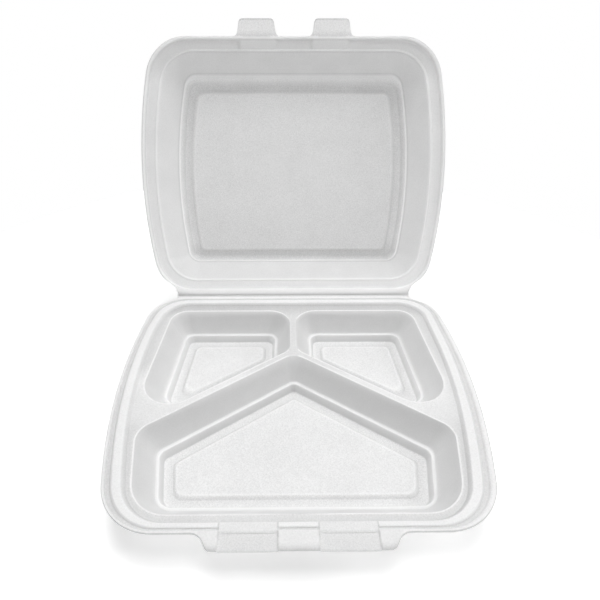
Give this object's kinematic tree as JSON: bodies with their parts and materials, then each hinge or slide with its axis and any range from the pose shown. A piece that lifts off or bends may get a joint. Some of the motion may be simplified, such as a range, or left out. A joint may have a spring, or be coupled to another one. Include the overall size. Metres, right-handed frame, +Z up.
{
  "type": "foam clamshell container",
  "caption": "White moulded-foam takeaway meal box with a bayed tray, a ridged rim, a deep lid on a pressed living hinge, and lock tabs that meet slits in the front lip.",
  "frame": {"origin": "on the table, on the centre line, in the tip of the wide bay's foot", "axes": "+Z up, +X to the right seen from the front, the front lip towards -Y and the fold towards +Y"},
  "size_m": [0.242, 0.2895, 0.2245],
  "materials": {
    "foam": "matte expanded-polystyrene foam with a fine cell grain"
  },
  "bodies": {
    "base": {"base_tray": "foam"},
    "lid": {"lid": "foam"}
  },
  "joints": [
    {"name": "lid_hinge", "type": "hinge", "parent": "base", "child": "lid", "pos_m": [0, 0.09062, 0.0276], "axis": [1, 0, 0], "range_deg": [-70, 110]}
  ]
}
